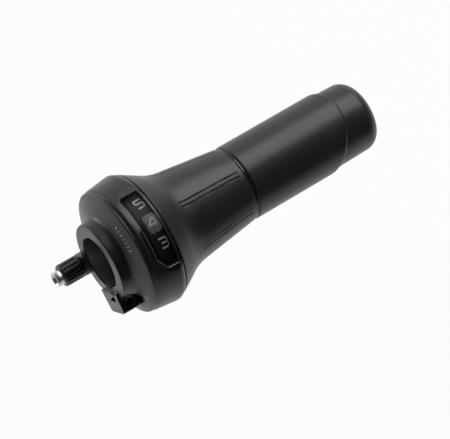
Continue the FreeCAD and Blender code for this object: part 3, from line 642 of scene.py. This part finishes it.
def twist_grip_skin():
    """Grip: the turned outline, sunk along each groove by a depth that fades at the groove's edge."""
    near_start = groove_start_x + np.linspace(-0.6, 0.6, 11)
    near_end = groove_end_x + np.linspace(-0.6, 0.6, 11)
    outline = filled_in(rounded(grip_outline, steps=12), 1.5)
    outline = with_rows_at(outline, np.concatenate([near_start, near_end]))
    centres = [groove_first_angle + 360 / groove_pairs * k for k in range(groove_pairs)]
    spread = np.arange(-groove_fine_angle, groove_fine_angle + 0.01, groove_fine_step)
    angle = np.concatenate([np.arange(0, 360, 3.0)] + [c + spread for c in centres])
    angle = np.unique(np.round(angle % 360, 3))
    x = outline[:, :1] + 0 * angle
    radius = outline[:, 1:] + 0 * angle
    past_end = np.maximum(0, np.maximum(groove_start_x - x, x - groove_end_x))
    sunk = np.zeros_like(radius)
    for centre in centres:
        turn = np.radians((angle - centre + 180) % 360 - 180)
        for side in (-1, 1):
            across = turn * radius - side * groove_spacing / 2
            distance = np.hypot(across, past_end)
            wall = groove_wall_share * groove_half_width
            sunk = np.maximum(sunk, smooth_step((groove_half_width - distance) / wall))
    on_outside = radius > grip_bore_radius + bore_margin
    radius = radius - groove_depth * sunk * on_outside
    piece = grid_piece("twist_grip_skin", "twist", round_the_axis(x, radius, angle), wrap_rows=True)
    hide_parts("twist_grip")
    return piece


def fixed_grip_skin():
    """End grip: the turned outline, with its rows leaned about the step so that the step runs aslant.

    A point moves along the axis by the lean times its height in the step's direction. The lean grows as a
    smooth step up to the step's x and falls to nothing past it.
    """
    outline = filled_in(rounded(fixed_outline, steps=16), 2.0)
    angle = np.arange(0, 360, 2.5)
    x = outline[:, :1] + 0 * angle
    lean = np.where(x < step_x, smooth_step((x - lean_start_x) / (step_x - lean_start_x)),
                    smooth_step((lean_end_x - x) / (lean_end_x - step_x)))
    radius = outline[:, 1:] + 0 * angle
    x = x + step_lean * radius * np.cos(np.radians(angle - step_angle)) * lean
    bore = np.array([(fixed_bore_end_x, 0.0), (fixed_bore_end_x, fixed_bore_radius),
                     (fixed_start_x, fixed_bore_radius)])
    inside = round_the_axis(bore[:, :1], bore[:, 1:], angle[None, :])
    shell = np.vstack([round_the_axis(x, radius, angle), inside])
    piece = grid_piece("fixed_grip_skin", "housing", shell)
    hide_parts("fixed_grip")
    return piece


def ribbon(path, width):
    """Left and right edge of a flat stroke along a path: each point moved by half the width, square to it."""
    step = np.diff(path, axis=0)
    step /= np.linalg.norm(step, axis=1)[:, None]
    before = np.vstack([step[:1], step])
    after = np.vstack([step, step[-1:]])
    along = before + after
    along /= np.linalg.norm(along, axis=1)[:, None]
    square = np.column_stack([-along[:, 1], along[:, 0]])
    reach = width / 2 / np.maximum(0.3, np.sum(along * after, axis=1))[:, None]
    return path + square * reach, path - square * reach


# Strokes of each number on a cell one wide and one high; a third value rounds that corner, in millimetres
digit_strokes = {
    1: [[(0.3, 0.78), (0.62, 1.0), (0.62, 0.0)]],
    2: [[(0.0, 1.0), (1.0, 1.0, 0.6), (1.0, 0.5, 0.6), (0.0, 0.5, 0.6), (0.0, 0.0), (1.0, 0.0)]],
    3: [[(0.0, 1.0), (1.0, 1.0, 0.7), (1.0, 0.0, 0.7), (0.0, 0.0)], [(0.2, 0.5), (1.0, 0.5)]],
    4: [[(0.8, 0.0), (0.8, 1.0)], [(0.64, 1.0), (-0.1, 0.27), (1.15, 0.27)]],
    5: [[(1.0, 1.0), (0.0, 1.0, 0.4), (0.0, 0.55, 0.4), (1.0, 0.55, 0.7), (1.0, 0.0, 0.7), (0.0, 0.0)]],
    6: [[(1.0, 1.0), (0.0, 1.0, 0.7), (0.0, 0.0, 0.7), (1.0, 0.0, 0.7), (1.0, 0.55, 0.7), (0.0, 0.55)]],
    7: [[(0.0, 1.0), (1.0, 1.0), (0.35, 0.0)]],
}


def dial_digits():
    """Gear numbers printed on the dial: strokes on a flat cell, wrapped round the dial's face."""
    for gear, strokes in digit_strokes.items():
        centre = window_angle + dial_shift_angle + (4 - gear) * gear_pitch
        for number, stroke in enumerate(strokes):
            corners = [((c[0] - 0.5) * digit_width, (c[1] - 0.5) * digit_height, *c[2:]) for c in stroke]
            left, right = ribbon(filled_in(rounded(corners, steps=6), 0.25), digit_stroke)
            cell = np.stack([right, left])
            place = round_the_axis(digit_x + cell[..., 0], dial_radius + print_lift,
                                  centre - np.degrees(cell[..., 1] / dial_radius))
            piece = grid_piece(f"digit_{gear}_{number}", "twist", place, wrap_columns=False)
            printed(piece)


def printed(piece):
    """Gives a print its thickness, just clear of the surface that carries it."""
    thickened(piece, print_thickness)
    pale_print.paint(piece)


def shoulder_marks():
    """Plain tick marks on the shoulder, the first and the last one longer.

    Each is a short line up the cone, whose radius grows by the shoulder's slope for each millimetre of x.
    """
    slope = np.array([1.0, shoulder_slope]) / math.hypot(1.0, shoulder_slope)
    outward = np.array([-slope[1], slope[0]])
    for number in range(tick_count):
        centre = tick_first_angle + tick_pitch * number
        length = end_tick_length if number in (0, tick_count - 1) else tick_length
        run = np.linspace(-length / 2, length / 2, 5)[:, None]
        middle = np.array([tick_x, neck_root_radius + (tick_x - neck_root_x) * shoulder_slope])
        line = middle + outward * print_lift + run * slope
        wide = math.degrees(tick_half_width / middle[1])
        place = np.stack([round_the_axis(line[:, 0], line[:, 1], centre - wide),
                          round_the_axis(line[:, 0], line[:, 1], centre + wide)], axis=1)
        piece = grid_piece(f"shoulder_mark_{number}", "housing", place, wrap_columns=False)
        printed(piece)


drum = drum_skin()
drum_moulding.paint(drum)
border = window_border()
dial_plastic.paint(border)
lens = lens_pane()
clear_plastic.paint(lens)
twist_grip = twist_grip_skin()
grip_rubber.paint(twist_grip)
fixed_grip = fixed_grip_skin()
grip_rubber.paint(fixed_grip)
dial_digits()
shoulder_marks()

node_finishes = {
    "clamp_body": black_moulding, "shell_screws": black_steel, "clamp_band": bright_steel,
    "clamp_bolt": black_steel, "bolt_washer": bright_steel, "clamp_nut": bright_steel,
    "thrust_washer": white_plastic, "detent_spring": bright_steel, "spring_screw": bright_steel,
    "cable_guide": bright_steel, "spacer_washer": gloss_plastic, "twist_sleeve": plain_plastic,
    "detent_ring": bright_steel, "number_dial": dial_plastic, "dial_screws": bright_steel,
    "adjuster_knob": black_moulding, "adjuster_spring": bright_steel, "adjuster_bolt": turned_aluminium,
}
for node, finish in node_finishes.items():
    skin = smoothed_copy(node)
    finish.paint(skin)


# Camera: above, behind and inboard of the housing, where the photograph was taken
camera_distance = 1000.0
camera_lens = 203.04
aim_x = 27.1
aim_right = -27.14
aim_down = 4.217
camera_angle = 31.0
inboard_turn = math.radians(20.3)
roll = math.radians(30.39)

# Floor and walls, whose strengths are shares of plain white
floor_z = -250.0
floor_reach = 6000.0
floor_dark_y = -0.75
floor_pale_y = -0.25
floor_glow = 0.93
wall_light = 0.85
wall_shine = 0.1
dark_side_angle = 37.0
dark_side_lean = 25.0
dark_side_share = 0.93
inboard_share = 0.9
lamp_aim_x = 0.05


def place_camera():
    """Puts the aim point on the axis at its place in the picture, at the camera's distance."""
    axis = Vector((1, 0, 0))
    a = math.radians(camera_angle)
    facing = Vector((0, -math.sin(a), math.cos(a)))
    down = Vector((0, -math.cos(a), -math.sin(a)))
    forward = axis * math.sin(inboard_turn) - facing * math.cos(inboard_turn)
    run = axis * math.cos(inboard_turn) + facing * math.sin(inboard_turn)
    right = run * math.cos(roll) + down * math.sin(roll)
    up = run * math.sin(roll) - down * math.cos(roll)
    aim = axis * aim_x
    place = (aim - right * aim_right + up * aim_down - forward * camera_distance) * MM
    data = bpy.data.cameras.new("camera")
    data.lens = camera_lens
    data.sensor_width = 36.0
    data.clip_start = 0.05
    camera = bpy.data.objects.new("camera", data)
    turn = Matrix((right, up, -forward)).transposed().to_4x4()
    camera.matrix_world = Matrix.Translation(place) @ turn
    scene.collection.objects.link(camera)
    scene.camera = camera


def soft_light(name, angle, lean, distance, width, height, power):
    """Rectangular lamp aimed at the object, at an angle round the axis and leaned along it.

    Its width lies round the axis and its height along it. Its sizes are metres and its power is watts.
    """
    away = direction(angle, lean)
    data = bpy.data.lights.new(name, "AREA")
    data.shape = "RECTANGLE"
    data.size = width
    data.size_y = height
    data.energy = power
    lamp = bpy.data.objects.new(name, data)
    lamp.location = Vector((lamp_aim_x, 0, 0)) + away * distance
    across = Vector((1, 0, 0)).cross(away).normalized()
    lamp.rotation_mode = "QUATERNION"
    lamp.rotation_quaternion = Matrix((across, away.cross(across), away)).transposed().to_quaternion()
    scene.collection.objects.link(lamp)


def pale_floor():
    """Pale floor under the held object, which fades to dark towards the back.

    The camera sees it nearly plain white, and reflections see white where it is pale.
    """
    points = np.array([[[-1, -1], [1, -1]], [[-1, 1], [1, 1]]], float) * floor_reach
    place = np.dstack([points, np.full((2, 2), floor_z)])
    mesh = bpy.data.meshes.new("floor")
    mesh.from_pydata((place.reshape(-1, 3) * MM).tolist(), [], [(0, 1, 3, 2)])
    floor = bpy.data.objects.new("floor", mesh)
    scene.collection.objects.link(floor)
    pale = Finish("pale_floor")
    near = pale.node("ShaderNodeSeparateXYZ", {}, [pale.place], "Y").above(floor_dark_y, floor_pale_y)
    tone = pale.colour_mix(pale.noise(3), (0.8, 0.8, 0.8), (0.84, 0.84, 0.84))
    pale.set(Base_Color=pale.colour_mix(near, (0.06, 0.06, 0.06), tone), Roughness=0.9)
    seen = (pale.ray("Camera") + (pale.ray("Glossy") + pale.ray("Transmission")) * near) * floor_glow
    white = pale.node("ShaderNodeEmission", {}, {"Color": (1, 1, 1, 1), "Strength": 1.0})
    matt = Value(pale, pale.shader.outputs[0])
    surface = pale.node("ShaderNodeMixShader", {}, {0: seen, 1: matt, 2: white})
    pale.tree.links.new(surface.socket, pale.output.inputs["Surface"])
    pale.paint(floor)


def white_walls():
    """White walls all round as the camera sees them. Two sides give little light and dark reflections."""
    world = bpy.data.worlds.new("walls")
    scene.world = world
    world.use_nodes = True
    walls = Nodes(world.node_tree)
    dark_side = walls.toward(dark_side_angle, dark_side_lean, 0.16, 0.42)
    inboard_side = walls.toward(0, -90, 0.1, 0.7)
    shine = (walls.ray("Glossy") + walls.ray("Transmission")) * wall_shine
    lit = (1 - dark_side * dark_side_share) * (1 - inboard_side * inboard_share) * (wall_light + shine)
    strength = walls.node("ShaderNodeMix", {"data_type": "FLOAT"}, {0: walls.ray("Camera"), 2: lit, 3: 1.0})
    background = world.node_tree.nodes["Background"]
    walls.tree.links.new(strength.socket, background.inputs["Strength"])
    background.inputs["Color"].default_value = (1, 1, 1, 1)


place_camera()
soft_light("overhead", -12, 28, distance=0.9, width=0.7, height=1.05, power=8.6)
soft_light("inboard", -90, -36, distance=0.9, width=0.42, height=0.42, power=1.7)
pale_floor()
white_walls()
scene.view_settings.view_transform = "Standard"
